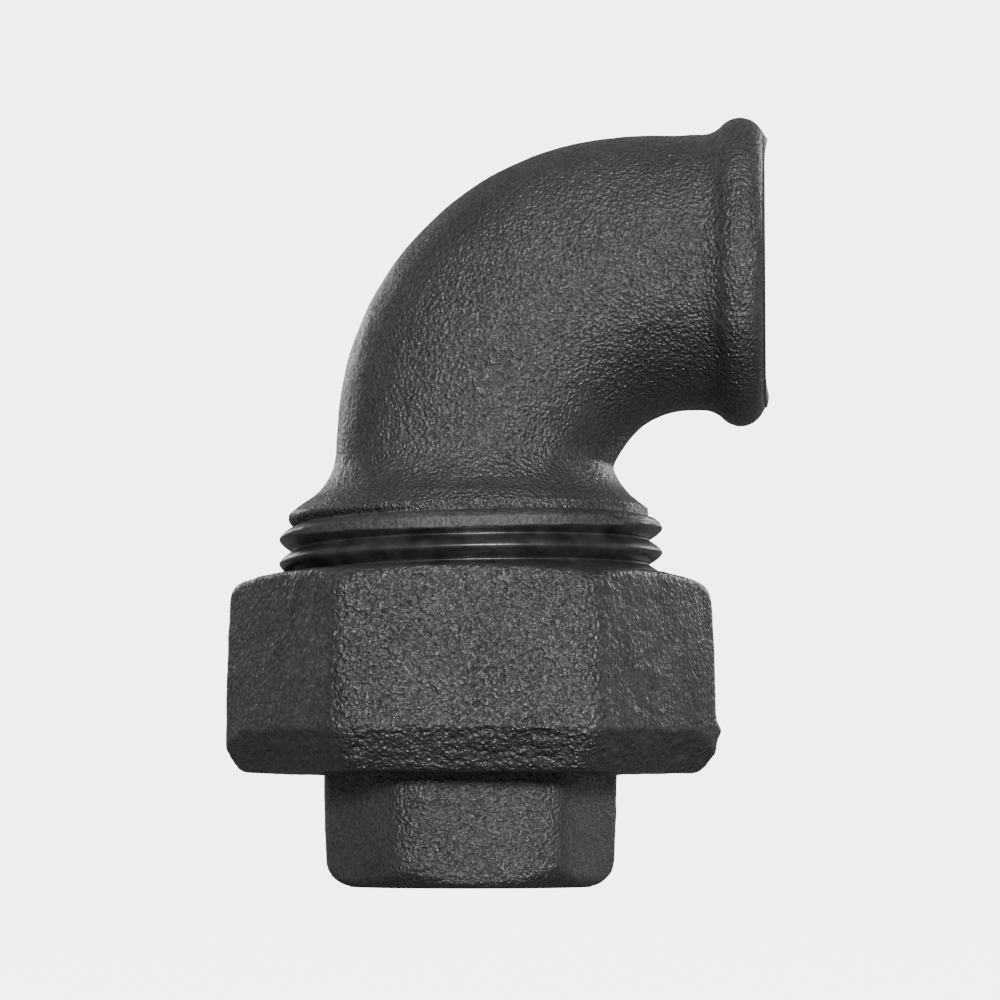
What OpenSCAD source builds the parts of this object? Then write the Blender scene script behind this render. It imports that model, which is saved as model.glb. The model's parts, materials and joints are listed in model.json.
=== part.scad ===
// Union elbow, female x female, for half-inch pipe.
// One leg is a plain tapped outlet, the other a screwed union: the nut draws the
// tailpiece's collar and a flat gasket up against the elbow's seat.
// Millimetres. The union's axis is Z and the outlet points along +X. The origin is
// the centre of the tailpiece's lower end, on which the fitting stands.

/* [Pipe thread] */
// Outside diameter of the pipe's thread
pipe_major_d = 20.955; // [20.8:0.005:21.1]
// Inside diameter of the tapped sockets
pipe_minor_d = 18.631; // [18.4:0.001:18.8]
// Pitch of the pipe's thread, 14 turns to the inch
pipe_pitch = 1.814; // [1.7:0.002:1.9]
// Depth of each tapped socket
socket_l = 12; // [11.5:0.1:12.5]

/* [Elbow] */
// Height of the outlet's axis over the tailpiece's lower end
outlet_z = 58; // [57.5:0.1:59]
// Distance from the union's axis to the outlet's face
outlet_x = 28; // [27.5:0.1:29]
// Outside diameter of the barrel
barrel_d = 26.1; // [25.8:0.1:26.4]
// Radius of the waterway's bend, to its centreline
bend_r = 18.5; // [18:0.1:19]
// Radius of the bend's heel, to the barrel's centreline
heel_r = 15.7; // [15.4:0.1:16.2]
// Radius of the bend's throat, on the metal
throat_r = 7.9; // [7.5:0.1:8.2]
// Diameter of the waterway
waterway_d = 18.2; // [17.5:0.1:18.4]
// Diameter over the bead round the outlet
bead_d = 29.2; // [28.8:0.1:29.6]
// Radius of the fillet between the neck and the union head
flare_r = 8; // [7.6:0.1:8.4]

/* [Union thread] */
// Outside diameter of the union head's thread
union_major_d = 36.3; // [36:0.1:36.6]
// Depth of that thread
union_depth = 1.25; // [1.1:0.05:1.3]
// Pitch of that thread, 11 turns to the inch
union_pitch = 2.309; // [2.25:0.001:2.35]
// Gap between the nut's thread and the head's, measured outwards
union_play = 0.15; // [0.12:0.01:0.2]

/* [Union nut] */
// Width across the nut's flats at their lower end
nut_af = 41; // [40.6:0.1:41.4]
// Width across the nut's flats at its upper face
nut_top_af = 40; // [39.6:0.1:40.4]
// Height of the nut's lower lip over the tailpiece's lower end
nut_z = 10; // [9.6:0.1:10.2]
// Height of the nut
nut_h = 19.4; // [19:0.1:19.8]
// Thickness of the flange inside the nut
flange_t = 3.9; // [3.6:0.1:4.1]
// Turn of the nut's hexagon about the union's axis
nut_turn = 3.3; // [-5:0.1:5]

/* [Tailpiece] */
// Width across the tailpiece's flats at the nut
tail_af = 25.1; // [24.8:0.1:25.2]
// Width across the tailpiece's flats at its lower end
tail_end_af = 24.5; // [24.2:0.1:24.7]
// Diameter of the collar that the nut pulls on
collar_d = 33.2; // [32.8:0.1:33.4]
// Thickness of the collar
collar_t = 4.2; // [4:0.1:4.4]
// Turn of the tailpiece's hexagon about the union's axis
tail_turn = 9; // [-15:0.1:15]

/* [Gasket] */
// Outside diameter of the gasket
gasket_od = 32.4; // [32:0.1:32.8]
// Inside diameter of the gasket
gasket_id = 24; // [23.6:0.1:24.6]
// Thickness of the gasket
gasket_t = 2; // [1.8:0.1:2.2]

/* [Hidden] */
$fn = 96;
iron = "#3d3d3f";
fibre = "#7d3a2c";
cut = 1;                                        // how far a cutter runs past the metal

barrel_r = barrel_d / 2;
waterway_r = waterway_d / 2;
bend_z = outlet_z - bend_r;                     // height of the waterway bend's centre
union_r = union_major_d / 2;
union_root_r = union_r - union_depth;
thread_z = 30.3;                                // a groove's middle, straight out along +X
thread_turns = 5;                               // turns of thread below it
collar_play = 0.1;                              // collar over flange, with the nut hand tight
flange_z = nut_z + flange_t;
collar_z = flange_z + collar_play;
collar_top = collar_z + collar_t;
seat_z = collar_top + gasket_t;                 // the elbow's seat lies on the gasket
nut_top = nut_z + nut_h;
head_z = 34.5;                                  // where the union head's flare ends
flare_z = bend_z + 2.8;                         // the height of the centre of the flare's arc
neck_r = 13.9;                                  // the tailpiece, where it passes the flange
flange_r = 14.35;                               // the hole in the flange
head_bore_r = 11.5;                             // the bore of the union head
head_bore_top = 30;
head_cone_h = 3;                                // the cone from there in to the waterway
throat_web_r = 12;                              // the tube that fills the inside of the bend

// Points of an arc about c in a profile plane, from angle a0 to angle a1.
function arc(c, r, a0, a1, n = 8) =
    [for (i = [0:n]) let (a = a0 + (a1 - a0) * i / n) c + r * [cos(a), sin(a)]];

// A helical groove cutter about Z that rises to the right. Its section is a cut-off V,
// bottom_w wide at radius bottom and mouth_w wide at radius mouth.
module helix(z0, z1, bottom, bottom_w, mouth, mouth_w, steps = 36) {
    n = ceil((z1 - z0) / union_pitch * steps);
    v = [[bottom, -bottom_w], [bottom, bottom_w], [mouth, mouth_w], [mouth, -mouth_w]];
    section = [for (k = [0:3]) v[bottom > mouth ? k : 3 - k]];
    points = [for (i = [0:n], p = section)
        let (a = 360 * i / steps)
        [p[0] * cos(a), p[0] * sin(a), z0 + union_pitch * i / steps + p[1] / 2]];
    sides = [for (i = [0:n - 1], k = [0:3])
        let (a = 4 * i + k, b = 4 * i + (k + 1) % 4)
        each [[a, b, b + 4], [a, b + 4, a + 4]]];
    polyhedron(points, concat([[3, 2, 1, 0]], sides, [[for (k = [0:3]) 4 * n + k]]));
}

// What a tapped socket cuts away, from its mouth at z = 0 up: a chamfered mouth, the
// bore, and one ring for each turn of the thread, so that the bore keeps true lands.
module socket() {
    minor_r = pipe_minor_d / 2;
    major_r = pipe_major_d / 2;
    mouth = 1.2;
    first = 2.1;
    flank = tan(27.5);                          // half the thread's 55 degree angle
    inner_r = minor_r - 0.5;
    blank = 0.7;                                // plain bore left at the bottom
    half = (major_r - inner_r) * flank;
    translate([0, 0, -cut]) cylinder(r = minor_r, h = socket_l + cut);
    translate([0, 0, -cut]) cylinder(r1 = minor_r + mouth + cut, r2 = minor_r, h = mouth + cut);
    for (z = [first : pipe_pitch : socket_l - blank]) {
        translate([0, 0, z]) rotate_extrude()
            polygon([[inner_r, -half], [major_r, 0], [inner_r, half]]);
    }
}

// The solid outside of the elbow: union head and neck, bend, and beaded outlet.
module elbow_outside() {
    chamfer = 1.5;
    lip_h = 1.1;
    lip_r = union_r - 0.85;
    flare = arc([barrel_r + flare_r, flare_z], flare_r, 228, 188);
    flare_top = flare[len(flare) - 1][1];
    throat_c = barrel_r + throat_r;             // the throat's centre, from either axis
    rotate_extrude() polygon(concat(
        [[0, seat_z], [union_r - chamfer, seat_z], [union_r, seat_z + chamfer]],
        [[union_r, head_z - lip_h], [lip_r, head_z]], flare, [[0, flare_top]]));
    translate([0, 0, head_z]) cylinder(r = barrel_r, h = outlet_z - heel_r - head_z);
    bend(heel_r, heel_r, barrel_r);
    bend(throat_c, throat_r + throat_web_r, throat_web_r);
    translate([0, 0, outlet_z]) rotate([0, 90, 0]) {
        rotate_extrude() outlet_profile();
        for (side = [0, 180]) {
            rotate([0, 0, side - 8]) rotate_extrude(angle = 16) flash_profile();
        }
    }
}

// A quarter of a ring from the neck round to the outlet: its centre's distance from both
// of their axes, its radius, and the radius of its section.
module bend(centre, ring_r, r) {
    translate([centre, 0, outlet_z - centre]) rotate([90, 0, 0]) rotate([0, 0, 90])
        rotate_extrude(angle = 90) translate([ring_r, 0]) circle(r = r);
}

// Half the outlet's section, with its radius along X and its length along Y: the
// barrel, a hollow that blends into the bead, and the bead's rounded back.
module outlet_profile() {
    bead = 2.3;
    hollow = 2.6;
    bead_c = [bead_d / 2 - bead, outlet_x - 2.4];
    face_r = bead_c[0] + 0.9;
    hollow_x = barrel_r + hollow;
    lean = acos((hollow_x - bead_c[0]) / (bead + hollow));
    hollow_c = [hollow_x, bead_c[1] - (bead + hollow) * sin(lean)];
    polygon(concat(
        [[0, heel_r], [barrel_r, heel_r]],
        arc(hollow_c, hollow, 180, 180 - lean),
        arc(bead_c, bead, -lean, 45),
        [[face_r, outlet_x], [0, outlet_x]]));
}

// Flash at the parting line, just proud of the outlet's face.
module flash_profile() {
    polygon([[11.4, outlet_x - 1], [11.4, outlet_x], [12.8, outlet_x + 0.3],
        [13.4, outlet_x + 0.15], [14, outlet_x - 0.8], [13.2, outlet_x - 1]]);
}

module elbow_body() {
    groove_z = thread_z - thread_turns * union_pitch;
    groove_top = head_z + 0.7;
    root_w = 0.5;
    past = 0.3;                                 // how far the cutter stands past the crests
    mouth_w = 2.24;
    color(iron) difference() {
        elbow_outside();
        helix(groove_z, groove_top, union_root_r, root_w, union_r + past, mouth_w);
        bend(bend_r, bend_r, waterway_r);
        translate([outlet_x, 0, outlet_z]) rotate([0, -90, 0]) socket();
        rotate_extrude() polygon([[0, seat_z - cut], [head_bore_r, seat_z - cut],
            [head_bore_r, head_bore_top], [waterway_r, head_bore_top + head_cone_h],
            [waterway_r, bend_z], [0, bend_z]]);
    }
}

// A hexagonal frustum, measured across its flats.
module hexagon(af, top_af, h) {
    linear_extrude(height = h, scale = top_af / af) circle(d = af / cos(30), $fn = 6);
}

module union_nut() {
    shoulder = 4.5;                             // height of the bevel round the lower end
    bevel_af = nut_af - 5.2;
    corner_r = nut_af / 2 / cos(30) - 0.2;      // the hexagon's rounded corners
    top_corner_r = corner_r - 0.5;
    low_r = 3.4;                                // rounding of the corners' lower ends
    low_lip = 0.7;
    high_r = 3.2;                               // and of their upper ends
    bore_r = union_root_r + union_play;
    inner_r = bore_r - 0.2;                     // where the thread's cutter starts
    root_w = 0.585;
    mouth_w = 2.209;
    mouth_h = 1.4;                              // the chamfer at the thread's mouth
    groove_z = thread_z - (thread_turns + 1.5) * union_pitch;
    color(iron) difference() {
        intersection() {
            rotate([0, 0, nut_turn]) {
                translate([0, 0, nut_z]) hexagon(bevel_af, nut_af, shoulder);
                translate([0, 0, nut_z + shoulder]) hexagon(nut_af, nut_top_af, nut_h - shoulder);
            }
            rotate_extrude() polygon(concat(
                [[0, nut_z], [flange_r, nut_z]],
                arc([corner_r - low_r, nut_z + low_r + low_lip], low_r, -90, 0),
                arc([top_corner_r - high_r, nut_top - high_r], high_r, 0, 90),
                [[0, nut_top]]));
        }
        translate([0, 0, nut_z - cut]) cylinder(r = flange_r, h = nut_h);
        translate([0, 0, flange_z]) cylinder(r = bore_r, h = nut_h);
        translate([0, 0, nut_top - mouth_h])
            cylinder(r1 = bore_r, r2 = bore_r + mouth_h + cut, h = mouth_h + cut);
        helix(groove_z, nut_top + union_pitch, union_r + union_play, root_w, inner_r, mouth_w);
    }
}

module tailpiece() {
    round_r = 3;                                // rounding of the corners' lower ends
    corner_r = 13.8;                            // the hexagon's rounded corners
    top_corner_r = 14.05;
    hexagon_h = 11;
    bed = 0.4;                                  // how far the neck runs into the hexagon
    color(iron) difference() {
        union() {
            intersection() {
                rotate([0, 0, tail_turn]) hexagon(tail_end_af, tail_af, hexagon_h);
                rotate_extrude() polygon(concat(
                    [[0, 0]], arc([corner_r - round_r, round_r], round_r, -90, 0),
                    [[top_corner_r, hexagon_h], [0, hexagon_h]]));
            }
            translate([0, 0, hexagon_h - bed])
                cylinder(r = neck_r, h = collar_top - hexagon_h + bed);
            translate([0, 0, collar_z]) cylinder(d = collar_d, h = collar_t);
        }
        socket();
        cylinder(r = waterway_r, h = collar_top + cut);
    }
}

module gasket() {
    color(fibre) translate([0, 0, collar_top]) difference() {
        cylinder(d = gasket_od, h = gasket_t);
        translate([0, 0, -cut]) cylinder(d = gasket_id, h = gasket_t + 2 * cut);
    }
}

elbow_body();
union_nut();
tailpiece();
gasket();
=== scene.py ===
"""Half-inch union elbow in black malleable iron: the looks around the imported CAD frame.

The elbow, the nut and the tailpiece are each one closed mesh, laid out in rows round an axis,
in millimetres. Cast skin is uneven in the mesh itself and grainy in its material; the threads
are true helices. Lengths are millimetres until a mesh is made.
"""

import json
import math

import bpy
import numpy as np
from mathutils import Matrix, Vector


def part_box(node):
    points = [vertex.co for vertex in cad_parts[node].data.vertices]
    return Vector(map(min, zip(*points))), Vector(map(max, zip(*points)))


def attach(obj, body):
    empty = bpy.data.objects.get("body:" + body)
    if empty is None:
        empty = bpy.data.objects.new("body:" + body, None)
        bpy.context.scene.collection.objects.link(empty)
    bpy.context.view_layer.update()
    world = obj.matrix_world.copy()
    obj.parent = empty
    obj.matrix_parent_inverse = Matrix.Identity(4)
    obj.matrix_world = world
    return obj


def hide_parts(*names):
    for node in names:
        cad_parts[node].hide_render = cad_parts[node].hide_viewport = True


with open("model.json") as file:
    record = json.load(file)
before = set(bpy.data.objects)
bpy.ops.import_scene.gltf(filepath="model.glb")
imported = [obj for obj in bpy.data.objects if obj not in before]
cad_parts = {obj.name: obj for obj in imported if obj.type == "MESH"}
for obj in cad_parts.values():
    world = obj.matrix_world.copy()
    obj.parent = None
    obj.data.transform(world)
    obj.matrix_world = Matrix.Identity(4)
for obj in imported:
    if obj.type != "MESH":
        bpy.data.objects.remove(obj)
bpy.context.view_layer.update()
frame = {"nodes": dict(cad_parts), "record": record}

MM = 0.001
TURN = 2 * math.pi
mounts = {m["name"]: m for m in frame["record"]["mounts"]}


def node_box(node):
    """The lowest and highest corners of a CAD node, in millimetres."""
    return [np.array(corner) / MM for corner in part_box(node)]


# Places read from the frame
ELBOW_LOW, ELBOW_HIGH = node_box("elbow_body")
NUT_LOW, NUT_HIGH = node_box("union_nut")
TAIL_LOW, TAIL_HIGH = node_box("tailpiece")
SEAT_Z = ELBOW_LOW[2]                       # the elbow's seat on the gasket
NUT_Z, NUT_TOP = NUT_LOW[2], NUT_HIGH[2]
COLLAR_TOP = TAIL_HIGH[2]
OUTLET_Z = mounts["outlet_thread"]["pos_m"][2] / MM
SOCKET_MINOR = mounts["outlet_thread"]["dims"]["r_mm"]

# Shape, as the CAD model has it
OUTLET_X = 28.0
BARREL_R = 13.05
BEND_R = 18.5
BEND_Z = OUTLET_Z - BEND_R
HEEL_R = 15.7                               # the heel's bend, to the barrel's centreline
THROAT_R = 7.9                              # the throat's bend, on the metal
WATERWAY_R = 9.1
HEAD_BORE_R = 11.5
FLARE_R = 6.5
FLARE_END = math.radians(57)                # where the flare's arc gives way to a cone
FLARE_Z = BEND_Z + 2.1
LIP_R = 17.3                                # the flare's lip, over the thread
CREASE_R = 16.75
CREASE_Z = 34.2                             # the crease between the flare and the collar
LIP_H = 0.85                                # from the crease up to the lip's edge
COLLAR_R = 17.6                             # the blank collar under the crease, at the front
COLLAR_ROUND = 0.7                          # height of the rounding at its top
RUN_OUT_Z = 33.2                            # the thread starts to run out here at the front
RUN_OUT = 3.0                               # and leaves the metal by this much
HEAD_TOP = 36.4                             # the union head's rows start here
FINE_THREAD_Z = 28.5                        # and are finer down to here, just inside the nut
SEAT_CHAMFER = 1.5
NECK_TOP_R = 12.9
NECK_SHIFT = 0.15                           # the cast neck stands this far off the axis
BEAD_R = 14.6
FACE_R = 12.8                               # the outlet's flat face ends here
SOCKET_L = 12.0
SOCKET_CHAMFER = 1.2
MOUTH_R = 10.52                             # the sockets' mouths, at the end faces
PIPE_PITCH = 1.814
PIPE_MAJOR_R = 10.4775
UNION_PITCH = 2.309
UNION_R = 18.15
UNION_ROOT_R = 16.9
THREAD_PLAY = 0.2
UNION_PHASE = 30.27                         # height of a thread root straight out along +X
FLANGE_Z = NUT_Z + 3.9
FLANGE_HOLE_R = 14.35
NUT_HALF = 20.5
NUT_TOP_HALF = 20.0
NUT_BEVEL_HALF = 17.7
NUT_BEVEL_H = 4.5
NUT_ANGLE = math.radians(3.3)
NUT_STEP = 0.24                             # between the nut's rows
NUT_MOUTH = 1.45                            # the chamfer at the top of its thread
NUT_RELIEF = 1.3                            # the turned relief over its flange
TAIL_HALF = 12.55
TAIL_END_HALF = 12.25
TAIL_HEX_H = 11.0
TAIL_ANGLE = math.radians(9)
TAIL_CORNER_R = 13.8
TAIL_FOOT_R = 3.0
NECK_R = 13.9
TAIL_COLLAR_R = 16.6
TAIL_COLLAR_Z = COLLAR_TOP - 4.2
TAIL_CHAMFER = 0.4


# ---------------------------------------------------------------- numbers and noise

def smooth(x):
    """0 below 0, 1 above 1 and smooth between."""
    x = np.clip(x, 0, 1)
    return x * x * (3 - 2 * x)


def smooth_max(a, b, k):
    """The larger of a and b, rounded off where they are within k."""
    h = np.maximum(k - np.abs(a - b), 0) / k
    return np.maximum(a, b) + h * h * k / 4


def hashed(ix, iy, iz, seed):
    """A fixed value from -1 to 1 for each lattice point."""
    h = (ix * 374761393 + iy * 668265263 + iz * 1440670441 + seed * 97477463) & 0xFFFFFFFF
    h = ((h ^ (h >> 13)) * 1274126177) & 0xFFFFFFFF
    h = ((h ^ (h >> 16)) * 2246822519) & 0xFFFFFFFF
    return ((h ^ (h >> 15)) & 0xFFFF) / 32767.5 - 1


def noise(points, size, seed):
    """Smooth value noise from -1 to 1 at points, with lumps about size apart."""
    skew = np.array([[0.80, 0.36, -0.48], [-0.60, 0.48, -0.64], [0.0, 0.80, 0.60]])
    q = points @ skew / size + 1000
    cell = np.floor(q).astype(np.int64)
    f = q - cell
    f = f * f * f * (f * (f * 6 - 15) + 10)
    total = 0
    for dx in (0, 1):
        for dy in (0, 1):
            for dz in (0, 1):
                weight = (np.abs(1 - dx - f[..., 0]) * np.abs(1 - dy - f[..., 1])
                          * np.abs(1 - dz - f[..., 2]))
                total = total + weight * hashed(cell[..., 0] + dx, cell[..., 1] + dy,
                                                cell[..., 2] + dz, seed)
    return total


def cast_skin(points, rough, seed):
    """How far cast skin stands out: broad waves, lumps and grain. rough scales the grain."""
    waves = 0.07 * noise(points, 6.0, seed)
    lumps = 0.05 * noise(points, 1.9, seed + 1)
    grain = 0.055 * noise(points, 0.8, seed + 2) + 0.035 * noise(points, 0.52, seed + 3)
    return waves + lumps + rough * grain


# ---------------------------------------------------------------- rows into a mesh

class Rows:
    """Rings of points that follow one another along a closed section, all round an axis.

    Each stretch of the section is a function of u, the distance along it, and the angle. A
    stretch may be skewed, so that its rows run along a thread: row u then starts and ends a
    pitch apart, and the seam joins the two columns by their u.
    """

    def __init__(self, columns, seam):
        self.columns = columns
        self.angles = seam + TURN * np.arange(columns) / columns
        self.turn = np.arange(columns) / columns - 0.5
        self.u, self.points, self.metal = [], [], []
        self.start = 0.0

    def add(self, u, place, metal, lead=0.0, skew=None):
        """Adds a stretch: u are its rows, and place(u, angle) gives their points. lead is the
        thread's travel per turn, and skew says how fully each row follows it."""
        u = np.asarray(u, float)
        full = np.repeat(u[:, None], self.columns, axis=1)
        if skew is not None:
            full = full + lead * np.asarray(skew)[:, None] * self.turn[None, :]
        angle = np.repeat(self.angles[None, :], len(u), axis=0)
        self.points.append(place(full, angle))
        self.u.append(full + self.start)
        marks = metal(full, angle) if callable(metal) else np.full(full.shape, metal)
        self.metal.append(marks)
        self.start += u[-1]

    def mesh(self, name):
        """Closes the section and the seam, and makes the Blender object."""
        points = np.concatenate(self.points)
        u = np.concatenate(self.u)
        marks = np.concatenate(self.metal)
        rows, columns = u.shape
        index = np.arange(rows * columns).reshape(rows, columns)
        lower, upper = index, np.roll(index, -1, axis=0)
        quads = np.stack([lower[:, :-1], lower[:, 1:], upper[:, 1:], upper[:, :-1]], axis=-1)
        faces = quads.reshape(-1, 4).tolist()
        left, right = u[:, -1], u[:, 0]
        i = j = 0
        while i < rows or j < rows:
            a, b = index[i % rows, -1], index[j % rows, 0]
            next_left = left[i + 1] if i + 1 < rows else np.inf
            next_right = right[j + 1] if j + 1 < rows else np.inf
            if i < rows and (next_left <= next_right or j >= rows):
                faces.append([a, b, index[(i + 1) % rows, -1]])
                i += 1
            else:
                faces.append([a, b, index[(j + 1) % rows, 0]])
                j += 1
        faces = [[int(v) for v in f] for f in faces]
        mesh = bpy.data.meshes.new(name)
        mesh.from_pydata((points.reshape(-1, 3) * MM).tolist(), [], faces)
        flat = marks.reshape(-1)
        kinds = np.array([flat[f].mean() > 0.5 for f in faces], dtype=np.int32)
        mesh.polygons.foreach_set("material_index", kinds)
        mesh.polygons.foreach_set("use_smooth", [True] * len(faces))
        mesh.update()
        piece = bpy.data.objects.new(name, mesh)
        bpy.context.scene.collection.objects.link(piece)
        return piece


def even(length, step):
    """Distances from 0 to length, about step apart."""
    return np.linspace(0, length, max(2, int(round(length / step)) + 1))


def along(corners, step):
    """A function of u that follows straight lines between corners, and u at even steps that
    keep every corner."""
    corners = np.array(corners, float)
    gaps = np.linalg.norm(np.diff(corners, axis=0), axis=1)
    marks = np.concatenate([[0], np.cumsum(gaps)])
    u = [0.0]
    for a, b in zip(marks[:-1], marks[1:]):
        u.extend(np.linspace(a, b, max(2, int(round((b - a) / step)) + 1))[1:])

    def follow(x):
        return [np.interp(x, marks, corners[:, k]) for k in range(corners.shape[1])]
    return follow, np.array(u)


def arc(centre, r, a0, a1, n):
    """Points of an arc in a section, with angles in degrees."""
    a = np.radians(np.linspace(a0, a1, n))
    return [(centre[0] + r * c, centre[1] + r * s) for c, s in zip(np.cos(a), np.sin(a))]


def about_z(r, z, angle):
    """Points at radius r, height z and angle about the union's axis."""
    return np.stack([r * np.cos(angle), r * np.sin(angle), z + 0 * r], axis=-1)


def push_out(points, height):
    """Moves each point of a grid along the grid's own normal by height."""
    du = np.gradient(points, axis=0)
    ends = np.roll(points, -1, axis=1) - np.roll(points, 1, axis=1)
    normal = np.cross(ends, du)
    normal /= np.maximum(np.linalg.norm(normal, axis=-1, keepdims=True), 1e-9)
    return points + normal * height[..., None]


# ---------------------------------------------------------------- threads

def union_thread_r(z, angle):
    """Radius of the union thread at height z: round crests and narrow roots."""
    phase = (z - UNION_PHASE) / UNION_PITCH - angle / TURN
    from_root = np.abs(phase - np.round(phase)) * UNION_PITCH
    from_crest = UNION_PITCH / 2 - from_root
    drop = 1.2 * (from_crest / 1.08) ** 1.6
    return np.maximum(UNION_R - drop, UNION_ROOT_R)


def nut_thread_r(z, angle):
    """Radius of the nut's thread, a small play outside the head's."""
    return np.maximum(union_thread_r(z, angle), UNION_ROOT_R + 0.05) + THREAD_PLAY


def socket_thread_r(x, angle):
    """Radius of a half-inch pipe thread at distance x along its axis."""
    phase = x / PIPE_PITCH - angle / TURN
    from_crest = np.abs(phase - np.round(phase)) * PIPE_PITCH
    rise = np.clip((from_crest - 0.24) / (PIPE_PITCH / 2 - 0.36), 0, 1)
    return SOCKET_MINOR + (PIPE_MAJOR_R - SOCKET_MINOR) * rise


# ---------------------------------------------------------------- the elbow

LEG = OUTLET_X - BEND_R                     # centreline from the outlet's face to the bend
BEND_L = BEND_R * math.pi / 2
NECK_S = LEG + BEND_L                       # centreline distance at the foot of the bend


def elbow_place(s, r, angle):
    """The point at distance s along the elbow's centreline from the outlet's face, and at
    radius r. Angle 0 is the outside of the bend and 90 degrees is +Y."""
    turn = np.clip((s - LEG) / BEND_R, 0, math.pi / 2)
    out_x, out_z = -np.sin(turn), np.cos(turn)
    x = BEND_R + BEND_R * out_x
    z = BEND_Z + BEND_R * out_z
    x = x + np.maximum(LEG - s, 0)
    z = z - np.maximum(s - NECK_S, 0)
    return np.stack([x + r * np.cos(angle) * out_x, r * np.sin(angle),
                     z + r * np.cos(angle) * out_z], axis=-1)


def bend_edges(s):
    """How far the heel and the throat of the bend lie from the centreline, at distance s."""
    turn = np.clip((s - LEG) / BEND_R, 0, math.pi / 2)
    nx, nz = -np.sin(turn), np.cos(turn)
    x = BEND_R * (1 + nx) + np.maximum(LEG - s, 0)
    z = BEND_Z + BEND_R * nz - np.maximum(s - NECK_S, 0)

    def hit(centre, r, way):
        dx, dz = x - centre, z - (OUTLET_Z - centre)
        along_ray = (dx * nx + dz * nz) * way
        root = np.sqrt(np.maximum(along_ray ** 2 - dx ** 2 - dz ** 2 + r ** 2, 0))
        return -along_ray + (root if way > 0 else -root)
    heel = hit(HEEL_R, HEEL_R + BARREL_R, 1)
    off_arc = (x + heel * nx > HEEL_R) | (z + heel * nz < OUTLET_Z - HEEL_R)
    to_top = (OUTLET_Z + BARREL_R - z) / np.maximum(nz, 0.5)
    to_back = (x + BARREL_R) / np.maximum(-nx, 0.5)
    heel = np.where(off_arc, np.where(turn < 0.8, to_top, to_back), heel)
    middle = BARREL_R + THROAT_R
    throat = hit(middle, THROAT_R, -1)
    off_arc = (x - throat * nx > middle) | (z - throat * nz < OUTLET_Z - middle)
    throat = np.where(off_arc, BARREL_R, throat)
    return heel, throat


def bead_section():
    """(s, r) down the bead's back, over the bead and into the barrel."""
    bead, hollow = 2.3, 2.6
    centre = (2.4, BEAD_R - bead)
    hollow_r = BARREL_R + hollow
    lean = math.degrees(math.acos((hollow_r - centre[1]) / (bead + hollow)))
    hollow_s = centre[0] + (bead + hollow) * math.sin(math.radians(lean))
    return ([(0.05, FACE_R)] + arc(centre, bead, 165, 90 - lean, 18)
            + arc((hollow_s, hollow_r), hollow, 270 - lean, 270, 12)[1:])


def flare_r(z, slope=1.3):
    """Radius of the neck as it opens out to the union head: an arc, then a straight cone."""
    arc_h = FLARE_R * math.sin(FLARE_END)
    drop = np.clip(FLARE_Z - z, 0, arc_h)
    r = NECK_TOP_R + FLARE_R - np.sqrt(FLARE_R ** 2 - drop ** 2)
    return np.minimum(r + np.maximum(FLARE_Z - arc_h - z, 0) * slope, LIP_R)


def head_r(z, azimuth):
    """Radius of the cast union head: the flare's lip, a crease, and the blank collar that the
    thread is cut into. The crease runs a little askew."""
    sideways = np.cos(azimuth) ** 2
    crease_z = CREASE_Z + 0.5 * np.cos(azimuth)
    lip_z = crease_z + LIP_H
    above = flare_r(np.maximum(z, lip_z), 0.85 + 0.45 * sideways)
    lip = CREASE_R + (above - CREASE_R) * (1 - smooth((lip_z - z) / (lip_z - crease_z)))
    full = COLLAR_R + 0.55 * np.abs(np.cos(azimuth)) + 0.6 * smooth((32.4 - z) / 1.0)
    rounded = np.sqrt(np.clip((crease_z - z) / COLLAR_ROUND, 0, 1))
    collar = CREASE_R + (full - CREASE_R) * rounded
    return np.where(z > crease_z, lip, collar)


def flash(r, a):
    """How far the flash at the mould's parting line stands out of the outlet's face."""
    middle = 12.4 + 0.5 * np.cos(a)
    return 0.28 * np.exp(-60 * (1 - np.abs(np.cos(a))) - ((r - middle) / 0.95) ** 2)


def add_outlet_face(rows):
    """The outlet's faced end, from its mouth outwards."""
    ring, u = along([(MOUTH_R, 0), (FACE_R, 0)], 0.3)

    def face(u, a):
        r = ring(u)[0]
        return elbow_place(-flash(r, a), r, a)
    rows.add(u, face, 1)


def under_ceiling(z, soft, room):
    """z, with what rises over soft pressed smoothly into the room above it."""
    above = np.maximum(z - soft, 0)
    return z - above + room * np.tanh(above / room)


def add_bend(rows, seed):
    """The bead, barrel, bend and neck, as cast."""
    bead = bead_section()
    section, u = along(bead + [(NECK_S + BEND_Z - HEAD_TOP, BARREL_R)], 0.32)

    def cast(u, a):
        s, r = section(u)
        z = BEND_Z + NECK_S - s
        heel, throat = bend_edges(s)
        bent = smooth((s - 4.5) / 1.5)
        r = r + 0.8 * bent * (heel - BARREL_R) * np.maximum(np.cos(a), 0) ** 1.5
        r = r + bent * (throat - BARREL_R) * np.maximum(-np.cos(a), 0) ** 1.5
        r = r + (NECK_TOP_R - BARREL_R) * smooth((s - NECK_S + 9) / 9)
        r = np.where(s > LEG + 12, smooth_max(r, flare_r(z), 0.3), r)
        points = elbow_place(s - flash(r, a) * (s < 1.5), r, a)
        points[..., 0] += NECK_SHIFT * smooth((s - LEG) / BEND_L)
        points[..., 0] = np.minimum(points[..., 0], ELBOW_HIGH[0] - 0.02)
        face = np.abs(np.sin(a)) ** 1.5
        skin = cast_skin(points, 0.2 + 0.4 * face, seed)
        fade = smooth(s / 0.9)
        seam_line = 0.05 * np.exp(-(np.sin(a) * r / 0.5) ** 2)
        points = push_out(points, (skin + seam_line) * fade)
        points[..., 2] = under_ceiling(points[..., 2], ELBOW_HIGH[2] - 0.18, 0.14)
        return points
    rows.add(u[1:], cast, 0)


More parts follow.
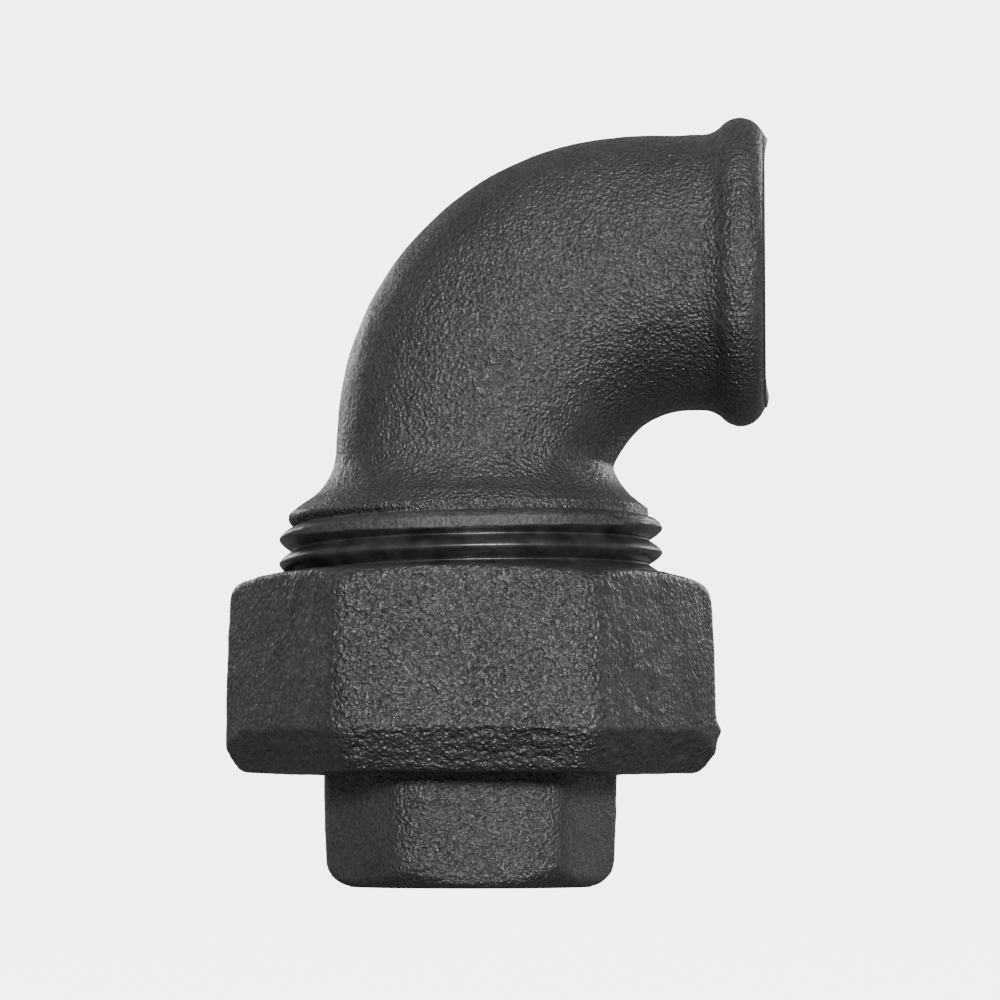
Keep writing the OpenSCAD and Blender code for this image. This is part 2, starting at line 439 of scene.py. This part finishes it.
def add_union_head(rows, seed):
    """The flare's lip, the crease and the thread, down to the seat."""
    fine_l = HEAD_TOP - FINE_THREAD_Z
    fine = even(fine_l, 0.115)[1:]
    coarse = even(FINE_THREAD_Z - SEAT_Z, 0.26)[1:] + fine_l
    u = np.concatenate([fine, coarse])
    skew = smooth((u - 0.2) / 1.6) * smooth((HEAD_TOP - SEAT_Z - u) / 4.4)

    def head_parts(z, azimuth):
        """The radii of the cast skin and of the cut thread."""
        ragged = 0.07 * noise(about_z(0 * z + 17, z, azimuth), 0.7, seed + 8)
        cast_r = head_r(z, azimuth) + ragged * smooth((34.5 - z) / 0.5)
        run_out = RUN_OUT * smooth((z - RUN_OUT_Z - 0.9 * np.abs(np.cos(azimuth))) / 0.7)
        cut_r = union_thread_r(z, azimuth) + run_out
        end = UNION_R - SEAT_CHAMFER + np.maximum(z - SEAT_Z, 0)
        return cast_r, np.minimum(cut_r, end)

    def head(u, a):
        z, azimuth = HEAD_TOP - u, math.pi - a
        cast_r, cut_r = head_parts(z, azimuth)
        points = about_z(np.minimum(cast_r, cut_r), z, azimuth)
        points[..., 0] += NECK_SHIFT * smooth((z - 34) / 2.4)
        skin = cast_skin(points, 0.5, seed) * (cast_r < cut_r) * smooth((z - 32.6) / 0.8)
        skin = skin * (0.45 + 0.55 * smooth((z - CREASE_Z) / 0.6))
        return push_out(points, skin)

    def head_metal(u, a):
        cast_r, cut_r = head_parts(HEAD_TOP - u, math.pi - a)
        return (cut_r <= cast_r).astype(float)
    rows.add(u, head, head_metal, UNION_PITCH, skew)


def add_waterway(rows, seed):
    """The seat, the bore inside the head and the cast waterway round the bend."""
    bore, u = along([(UNION_R - SEAT_CHAMFER, SEAT_Z), (HEAD_BORE_R, SEAT_Z), (HEAD_BORE_R, 30),
                     (WATERWAY_R, 33), (WATERWAY_R, BEND_Z)], 1.2)
    rows.add(u[1:], lambda u, a: about_z(*bore(u), math.pi - a), 1)

    def waterway(u, a):
        points = elbow_place(NECK_S - u, WATERWAY_R + 0 * u, a)
        return push_out(points, -0.5 * cast_skin(points, 0.5, seed))
    rows.add(even(NECK_S - SOCKET_L, 1.5)[1:], waterway, 0)


def add_socket(rows, step, thread_r, place):
    """A tapped socket, from its bottom out to its mouth. thread_r(depth, angle) is the
    thread's radius, and place(depth, r, angle) gives its points."""
    u = even(SOCKET_L - 0.05, step)[1:]
    skew = smooth((u - 0.1) / 1.6) * smooth((SOCKET_L - u - 0.1) / 1.6)

    def socket(u, a):
        depth = SOCKET_L - u
        r = np.minimum(thread_r(depth, a), WATERWAY_R + u * 1.4)
        return place(depth, np.maximum(r, SOCKET_MINOR + SOCKET_CHAMFER - depth), a)
    rows.add(u, socket, 1, -PIPE_PITCH, skew)


def make_elbow():
    """One casting, from the outlet's mouth over the outside to the seat and back inside."""
    rows = Rows(276, math.pi / 2)
    seed = 11
    add_outlet_face(rows)
    add_bend(rows, seed)
    add_union_head(rows, seed)
    add_waterway(rows, seed + 5)
    add_socket(rows, 0.18, lambda s, a: socket_thread_r(-s, math.pi / 2 - a), elbow_place)
    return rows.mesh("Elbow_body")


# ---------------------------------------------------------------- hexagons

def hexagon_gap(x, y, half, angle, k):
    """How far a point lies outside a hexagon's sides, with its corners rounded by k."""
    gap = None
    for side in range(6):
        a = angle + math.radians(30 + 60 * side)
        d = x * math.cos(a) + y * math.sin(a) - half
        gap = d if gap is None else smooth_max(gap, d, k)
    return gap


def reach(outside, centre, heading, azimuth, far):
    """Along each ray from centre in the (r, z) section, the distance where outside crosses 0."""
    low = np.zeros_like(heading)
    high = np.full_like(heading, far)
    for _ in range(26):
        mid = (low + high) / 2
        r = centre[0] + mid * np.cos(heading)
        z = centre[1] + mid * np.sin(heading)
        out = outside(r, z, azimuth) > 0
        high = np.where(out, mid, high)
        low = np.where(out, low, mid)
    return centre[0] + low * np.cos(heading), centre[1] + low * np.sin(heading)


def section_headings(corners, step, centre):
    """Ray headings from centre that meet a section about step apart."""
    follow, u = along(corners, step)
    r, z = follow(u)
    return np.arctan2(z - centre[1], r - centre[0])


def rounding(across, along_axis, r):
    """How far a point lies outside a corner rounded by r, past the round's centre."""
    return np.hypot(np.maximum(across, 0), np.maximum(along_axis, 0)) - r


def nut_outside(r, z, azimuth):
    """Above 0 outside the nut's cast hexagon."""
    x, y = r * np.cos(azimuth), r * np.sin(azimuth)
    up = (z - NUT_Z - NUT_BEVEL_H) / (NUT_TOP - NUT_Z - NUT_BEVEL_H)
    sides = NUT_HALF - up * (NUT_HALF - NUT_TOP_HALF)
    wander = np.stack([x, y, z * 2.0], axis=-1)
    ragged = 0.10 * noise(wander, 1.6, 31) + 0.08 * noise(wander, 0.7, 32)
    bevel = NUT_BEVEL_HALF + (z - NUT_Z) * (NUT_HALF - NUT_BEVEL_HALF) / NUT_BEVEL_H + ragged
    cornered = (1 + np.cos(6 * (azimuth - NUT_ANGLE))) / 2
    gap = hexagon_gap(x, y, 0, NUT_ANGLE, 1.0)
    low = gap - bevel - 0.9 * cornered ** 6 * np.cos(azimuth) ** 4
    corner = NUT_HALF / math.cos(math.radians(30))
    cone = corner - 0.7 * (z - NUT_Z) / (NUT_TOP - NUT_Z)
    out = smooth_max(gap - sides, low * 0.92, 0.12)
    out = smooth_max(out, r - cone, 0.6)
    low_round = rounding(r - corner + 2.8, NUT_Z + 3.4 - z, 2.8)
    top_round = rounding(r - corner + 4.2, z - NUT_TOP + 3.8, 3.8)
    out = smooth_max(out, low_round, 0.5)
    out = smooth_max(out, top_round, 0.5)
    under = NUT_Z + 0.02 + 0.05 * (r - FLANGE_HOLE_R) - z
    out = smooth_max(out, under, 0.5)
    over = z - NUT_TOP + 0.03 + 0.2 * np.maximum(r - 18.2, 0)
    return smooth_max(out, over, 0.5)


def make_nut():
    """Rays from the ring at centre, inside the wall, find the outside. The rough outline
    only spaces them."""
    rows = Rows(400, math.pi / 2)
    centre = (13.5, 19.7)
    outline = [(FLANGE_HOLE_R + 0.1, NUT_Z), (19.9, 10.8), (22.0, 11.5), (23.2, 13.5),
               (23.2, 16), (22.8, 26.6), (21.8, 28.6), (19.9, 29.3), (18.7, 29.4)]
    heading = section_headings(outline, NUT_STEP, centre)

    steps = np.arange(len(heading)) * NUT_STEP

    def outer(u, a):
        angle = np.interp(u, steps, heading)
        r, z = reach(nut_outside, centre, angle, a, 14.0)
        points = about_z(r, z, a)
        face = np.abs(np.sin(a - NUT_ANGLE)) ** 1.2
        edge = smooth((z - NUT_Z) / 0.8)
        skin = cast_skin(points, 0.25 + 1.1 * face, 21)
        bur = np.exp(-((a - TURN - NUT_ANGLE) / 0.045) ** 2 - ((z - 14.6) / 0.75) ** 2)
        return push_out(points, skin * edge + 0.5 * bur)
    rows.add(steps, outer, 0)

    top_r = UNION_ROOT_R + 0.05 + THREAD_PLAY
    thread = even(NUT_TOP - FLANGE_Z, NUT_STEP)[1:]
    skew = smooth((thread - 0.1) / 2.2) * smooth((thread[-1] - thread) / 2.2)

    def inner(u, a):
        z = NUT_TOP - u
        mouth = top_r + NUT_MOUTH - u
        relief = smooth((FLANGE_Z + NUT_RELIEF - z) / 0.5) * NUT_RELIEF
        r = np.maximum(np.maximum(nut_thread_r(z, a), mouth), top_r + relief * 0.9)
        return about_z(r, z, a)
    rows.add(thread, inner, 1, -UNION_PITCH, skew)
    flange, u = along([(18.3, FLANGE_Z), (FLANGE_HOLE_R, FLANGE_Z),
                       (FLANGE_HOLE_R, NUT_Z + 0.6)], 0.9)
    rows.add(u[1:], lambda u, a: about_z(*flange(u), a), 1)
    return rows.mesh("Union_nut")


def tail_outside(r, z, azimuth):
    """Above 0 outside the tailpiece's cast hexagon."""
    x, y = r * np.cos(azimuth), r * np.sin(azimuth)
    half = TAIL_END_HALF + (TAIL_HALF - TAIL_END_HALF) * z / TAIL_HEX_H
    out = hexagon_gap(x, y, 0, TAIL_ANGLE, 0.9) - half
    corner = TAIL_CORNER_R + 0.02 * z
    out = smooth_max(out, r - corner, 0.6)
    foot = rounding(r - corner + TAIL_FOOT_R, TAIL_FOOT_R - z, TAIL_FOOT_R)
    return smooth_max(out, foot, 0.5)


def make_tailpiece():
    """The hexagon's outside is found by rays, as the nut's is."""
    rows = Rows(300, math.pi / 2)
    centre = (7.0, 8.0)
    outline = [(11.4, 0), (12.6, 0.3), (13.5, 1.4), (13.8, 3), (13.9, 10.9)]
    heading = section_headings(outline, 0.3, centre)
    steps = np.arange(len(heading)) * 0.3

    def outer(u, a):
        angle = np.interp(u, steps, heading)
        r, z = reach(tail_outside, centre, angle, a, 14.0)
        points = about_z(r, z, a)
        face = np.abs(np.sin(a - TAIL_ANGLE)) ** 1.2
        skin = cast_skin(points, 0.3 + 0.5 * face, 41) * smooth((z - 0.1) / 0.9)
        skin = skin * smooth((TAIL_HEX_H - 0.1 - z) / 0.5)
        points = push_out(points, skin)
        points[..., 2] = np.maximum(points[..., 2], TAIL_LOW[2] + 0.004)
        return points
    ring, u = along([(MOUTH_R, 0), (11.35, 0)], 0.3)
    rows.add(u, lambda u, a: about_z(ring(u)[0], 0 * u, a), 1)
    rows.add(steps, outer, 0)
    upper, u = along([(NECK_R, TAIL_HEX_H), (NECK_R, TAIL_COLLAR_Z),
                      (TAIL_COLLAR_R, TAIL_COLLAR_Z), (TAIL_COLLAR_R, COLLAR_TOP - TAIL_CHAMFER),
                      (TAIL_COLLAR_R - TAIL_CHAMFER, COLLAR_TOP),
                      (WATERWAY_R + 0.3, COLLAR_TOP), (WATERWAY_R, COLLAR_TOP - 0.3),
                      (WATERWAY_R, SOCKET_L)], 0.9)
    rows.add(u, lambda u, a: about_z(*upper(u), a), 1)
    add_socket(rows, 0.17, socket_thread_r, lambda z, r, a: about_z(r, z, a))
    return rows.mesh("Tailpiece")


# ---------------------------------------------------------------- materials

CAST_BLACK = (0.010, 0.010, 0.0103, 1)
CAST_WORN = (0.043, 0.043, 0.0426, 1)
CUT_DARK = (0.027, 0.026, 0.025, 1)
CUT_BRIGHT = (0.082, 0.079, 0.075, 1)
FIBRE_DARK = (0.11, 0.026, 0.018, 1)
FIBRE_PALE = (0.24, 0.062, 0.04, 1)


def node(tree, kind, **values):
    """Adds a shader node and sets its attributes and, by name, its inputs."""
    made = tree.nodes.new(kind)
    for key, value in values.items():
        if hasattr(made, key):
            setattr(made, key, value)
        else:
            made.inputs[key.replace("_", " ")].default_value = value
    return made


def ramp(tree, source, low, high, a, b):
    """Maps source from low..high to a..b."""
    made = node(tree, "ShaderNodeMapRange", From_Min=low, From_Max=high, To_Min=a, To_Max=b)
    tree.links.new(source, made.inputs["Value"])
    return made.outputs["Result"]


def combine(tree, operation, a, b):
    """A Math node's result from two sockets or numbers."""
    made = node(tree, "ShaderNodeMath", operation=operation)
    for socket, value in zip(made.inputs, (a, b)):
        if isinstance(value, (int, float)):
            socket.default_value = value
        else:
            tree.links.new(value, socket)
    return made.outputs[0]


def grain(tree, coords, scale, detail, rough=0.5, offset=0.0):
    """Noise with its lumps 1 / scale metres apart. offset shifts it, so two grains differ."""
    made = node(tree, "ShaderNodeTexNoise", Scale=scale, Detail=detail, Roughness=rough)
    shift = node(tree, "ShaderNodeVectorMath", operation="ADD")
    tree.links.new(coords, shift.inputs[0])
    shift.inputs[1].default_value = (offset, offset * 0.7, -offset)
    tree.links.new(shift.outputs[0], made.inputs["Vector"])
    return made.outputs["Fac"]


def two_tones(tree, a, b):
    """A colour that goes from a to b with its Factor."""
    tone = node(tree, "ShaderNodeMix", data_type="RGBA")
    tone.inputs["A"].default_value = a
    tone.inputs["B"].default_value = b
    return tone


def new_material(name):
    """A material, its node tree, its shader and its texture coordinates."""
    material = bpy.data.materials.new(name)
    material.use_nodes = True
    tree = material.node_tree
    return material, tree, tree.nodes["Principled BSDF"], tree.nodes.new("ShaderNodeTexCoord")


def cast_iron(name, offset, even_z, grit):
    """Black, oiled cast skin. Faces turned to the mould's two halves or downwards are coarse,
    and the ones along the draw are smoother, as is the skin below the height even_z. Faces
    that look down are painted darker, towards the black, as painted shade. grit is grains
    to the metre."""
    material, tree, shader, coords = new_material(name)
    place = coords.outputs["Object"]
    split = node(tree, "ShaderNodeSeparateXYZ")
    tree.links.new(coords.outputs["Normal"], split.inputs[0])
    facing = combine(tree, "ABSOLUTE", split.outputs["Y"], 0)
    under = combine(tree, "MULTIPLY", split.outputs["Z"], -1.8)
    facing = combine(tree, "ADD", facing, combine(tree, "MULTIPLY", split.outputs["Z"], 0.2))
    coarse = ramp(tree, combine(tree, "MAXIMUM", facing, under), 0.5, 0.95, 0.3, 1.0)
    # painted shade: faces that look down get less of the lighter tone, so their colour is darker
    painted_underside_shade = ramp(tree, split.outputs["Z"], -0.55, -0.2, 0.25, 1.0)
    position = node(tree, "ShaderNodeSeparateXYZ")
    tree.links.new(place, position.inputs[0])
    calm = ramp(tree, position.outputs["Z"], even_z - 0.5 * MM, even_z, 0.35, 1.0)
    coarse = combine(tree, "MULTIPLY", coarse, calm)
    dull = ramp(tree, position.outputs["Z"], even_z - 0.5 * MM, even_z, 0.62, 0.0)

    pits = grain(tree, place, grit, 0.8, 0.5, offset)
    sand = grain(tree, place, 1.9 * grit, 1.0, 0.5, offset + 3)
    patches = grain(tree, place, 160, 4.0, 0.6, offset + 6)
    height = combine(tree, "ADD", pits, combine(tree, "MULTIPLY", sand, 0.4))
    bump = node(tree, "ShaderNodeBump", Distance=1.15 / grit)
    tree.links.new(coarse, bump.inputs["Strength"])
    tree.links.new(height, bump.inputs["Height"])
    tree.links.new(bump.outputs["Normal"], shader.inputs["Normal"])

    tone = two_tones(tree, CAST_BLACK, CAST_WORN)
    mixed = combine(tree, "ADD", combine(tree, "MULTIPLY", pits, 0.45),
                    combine(tree, "MULTIPLY", sand, 0.3))
    mixed = combine(tree, "ADD", mixed, combine(tree, "MULTIPLY", patches, 0.3))
    # the lighter tone's share: random wear, cut back on faces that look down as painted shade
    wear_and_painted_shade = combine(tree, "MULTIPLY", ramp(tree, mixed, 0.38, 0.68, 0.0, 1.0), painted_underside_shade)
    tree.links.new(wear_and_painted_shade, tone.inputs["Factor"])
    tree.links.new(tone.outputs["Result"], shader.inputs["Base Color"])
    polish = ramp(tree, pits, 0.4, 0.65, 0.50, 0.28)
    tree.links.new(combine(tree, "MAXIMUM", polish, dull), shader.inputs["Roughness"])
    shader.inputs["Specular IOR Level"].default_value = 0.5
    return material


def cut_iron(name, offset):
    """Threads and faced ends: cut metal, blacked and oiled, with fine turning marks."""
    material, tree, shader, coords = new_material(name)
    place = coords.outputs["Object"]
    marks = grain(tree, place, 5200, 2.0, 0.5, offset)
    stains = grain(tree, place, 420, 3.0, 0.6, offset + 2)
    bump = node(tree, "ShaderNodeBump", Distance=0.00004, Strength=0.5)
    tree.links.new(marks, bump.inputs["Height"])
    tree.links.new(bump.outputs["Normal"], shader.inputs["Normal"])
    tone = two_tones(tree, CUT_DARK, CUT_BRIGHT)
    tree.links.new(ramp(tree, stains, 0.35, 0.7, 0.0, 1.0), tone.inputs["Factor"])
    tree.links.new(tone.outputs["Result"], shader.inputs["Base Color"])
    tree.links.new(ramp(tree, marks, 0.3, 0.7, 0.44, 0.28), shader.inputs["Roughness"])
    shader.inputs["Metallic"].default_value = 0.7
    return material


def fibre(name):
    """Red-brown pressed fibre sheet, for the gasket."""
    material, tree, shader, coords = new_material(name)
    place = coords.outputs["Object"]
    threads = grain(tree, place, 2600, 3.0, 0.7)
    clouds = grain(tree, place, 300, 3.0, 0.5, 4)
    bump = node(tree, "ShaderNodeBump", Distance=0.00006, Strength=0.7)
    tree.links.new(threads, bump.inputs["Height"])
    tree.links.new(bump.outputs["Normal"], shader.inputs["Normal"])
    tone = two_tones(tree, FIBRE_DARK, FIBRE_PALE)
    tree.links.new(combine(tree, "MULTIPLY", combine(tree, "ADD", threads, clouds), 0.5),
                   tone.inputs["Factor"])
    tree.links.new(tone.outputs["Result"], shader.inputs["Base Color"])
    tree.links.new(ramp(tree, threads, 0.3, 0.7, 0.9, 0.7), shader.inputs["Roughness"])
    return material


# ---------------------------------------------------------------- pieces on the frame

for build, cad_node, body, slot, offset, even_z, grit in (
        (make_elbow, "elbow_body", "elbow", "elbow_iron", 0.0, 34.4 * MM, 3000),
        (make_nut, "union_nut", "nut", "nut_iron", 11.0, 0.0, 2400),
        (make_tailpiece, "tailpiece", "tail", "tail_iron", 23.0, -1.0, 3100)):
    piece = build()
    piece.data.materials.append(cast_iron(slot + "_cast", offset, even_z, grit))
    piece.data.materials.append(cut_iron(slot + "_cut", offset))
    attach(piece, body)
    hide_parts(cad_node)

gasket = frame["nodes"]["gasket"]
for material_slot in gasket.material_slots:
    material_slot.material = fibre("gasket_fibre_sheet")


# ---------------------------------------------------------------- floor, light and camera

AIR_LIGHT = 0.33                            # the even light all round
BACKDROP = 5.0                              # and how bright the picture's background is
FLOOR_TONE = 0.3
FLOOR_GLOW = BACKDROP - FLOOR_TONE * AIR_LIGHT


def pale_floor():
    """Matt and pale. Its own light is only seen by the camera, and doesn't light the part."""
    material, tree, shader = new_material("pale_floor")[:3]
    shader.inputs["Base Color"].default_value = (FLOOR_TONE, FLOOR_TONE, FLOOR_TONE, 1)
    shader.inputs["Roughness"].default_value = 0.9
    seen = node(tree, "ShaderNodeLightPath")
    shader.inputs["Emission Color"].default_value = (1, 1, 1, 1)
    tree.links.new(combine(tree, "MULTIPLY", seen.outputs["Is Camera Ray"], FLOOR_GLOW),
                   shader.inputs["Emission Strength"])
    return material


def make_floor():
    """A flat square floor under the fitting, in metres."""
    size = 3.0
    mesh = bpy.data.meshes.new("Floor")
    corners = [(-size, -size, 0), (size, -size, 0), (size, size, 0), (-size, size, 0)]
    mesh.from_pydata(corners, [], [(0, 1, 2, 3)])
    floor = bpy.data.objects.new("Floor", mesh)
    bpy.context.scene.collection.objects.link(floor)
    mesh.materials.append(pale_floor())


def make_world():
    """An even, rather dim light all round, in front of a white backdrop."""
    world = bpy.data.worlds.new("Studio")
    world.use_nodes = True
    tree = world.node_tree
    light = tree.nodes["Background"]
    light.inputs["Color"].default_value = (1, 1, 1, 1)
    light.inputs["Strength"].default_value = AIR_LIGHT
    backdrop = node(tree, "ShaderNodeBackground", Color=(1, 1, 1, 1), Strength=BACKDROP)
    seen = node(tree, "ShaderNodeLightPath")
    either = node(tree, "ShaderNodeMixShader")
    tree.links.new(seen.outputs["Is Camera Ray"], either.inputs[0])
    tree.links.new(light.outputs[0], either.inputs[1])
    tree.links.new(backdrop.outputs[0], either.inputs[2])
    tree.links.new(either.outputs[0], tree.nodes["World Output"].inputs["Surface"])
    bpy.context.scene.world = world


def area_light(name, place, target, size, power):
    """A round lamp at place, in metres, turned to target. power is in watts."""
    data = bpy.data.lights.new(name, "AREA")
    data.shape = "DISK"
    data.size = size
    data.energy = power
    lamp = bpy.data.objects.new(name, data)
    lamp.location = place
    lamp.rotation_euler = (Vector(target) - Vector(place)).to_track_quat("-Z", "Y").to_euler()
    bpy.context.scene.collection.objects.link(lamp)


def make_camera():
    """Low and close, level with the tailpiece, and in the plane of the outlet's face."""
    picture = 94.9 * MM                     # width of the view in the plane of the union's axis
    distance = 350 * MM
    azimuth = math.asin(OUTLET_X * MM / distance)
    side = Vector((math.cos(azimuth), math.sin(azimuth), 0))
    place = Vector((math.sin(azimuth) * distance, -math.cos(azimuth) * distance, 6.2 * MM))
    target = side * 2.75 * MM + Vector((0, 0, 36.5 * MM))
    data = bpy.data.cameras.new("Camera")
    data.sensor_width = 36
    data.lens = 36 * (target - place).length / picture
    data.clip_start = 0.01
    camera = bpy.data.objects.new("Camera", data)
    camera.location = place
    look = (target - place).to_track_quat("-Z", "Y")
    camera.rotation_euler = look.to_euler()
    bpy.context.scene.collection.objects.link(camera)
    bpy.context.scene.camera = camera


make_floor()
make_world()
middle = (0, 0, 0.037)
area_light("Key", (0.17, -0.82, 0.20), middle, 0.15, 14)
area_light("Back_left", (-0.5, 0.8, 0.3), middle, 0.3, 1.1)
area_light("Back_right", (0.5, 0.8, 0.3), middle, 0.3, 1.5)
make_camera()
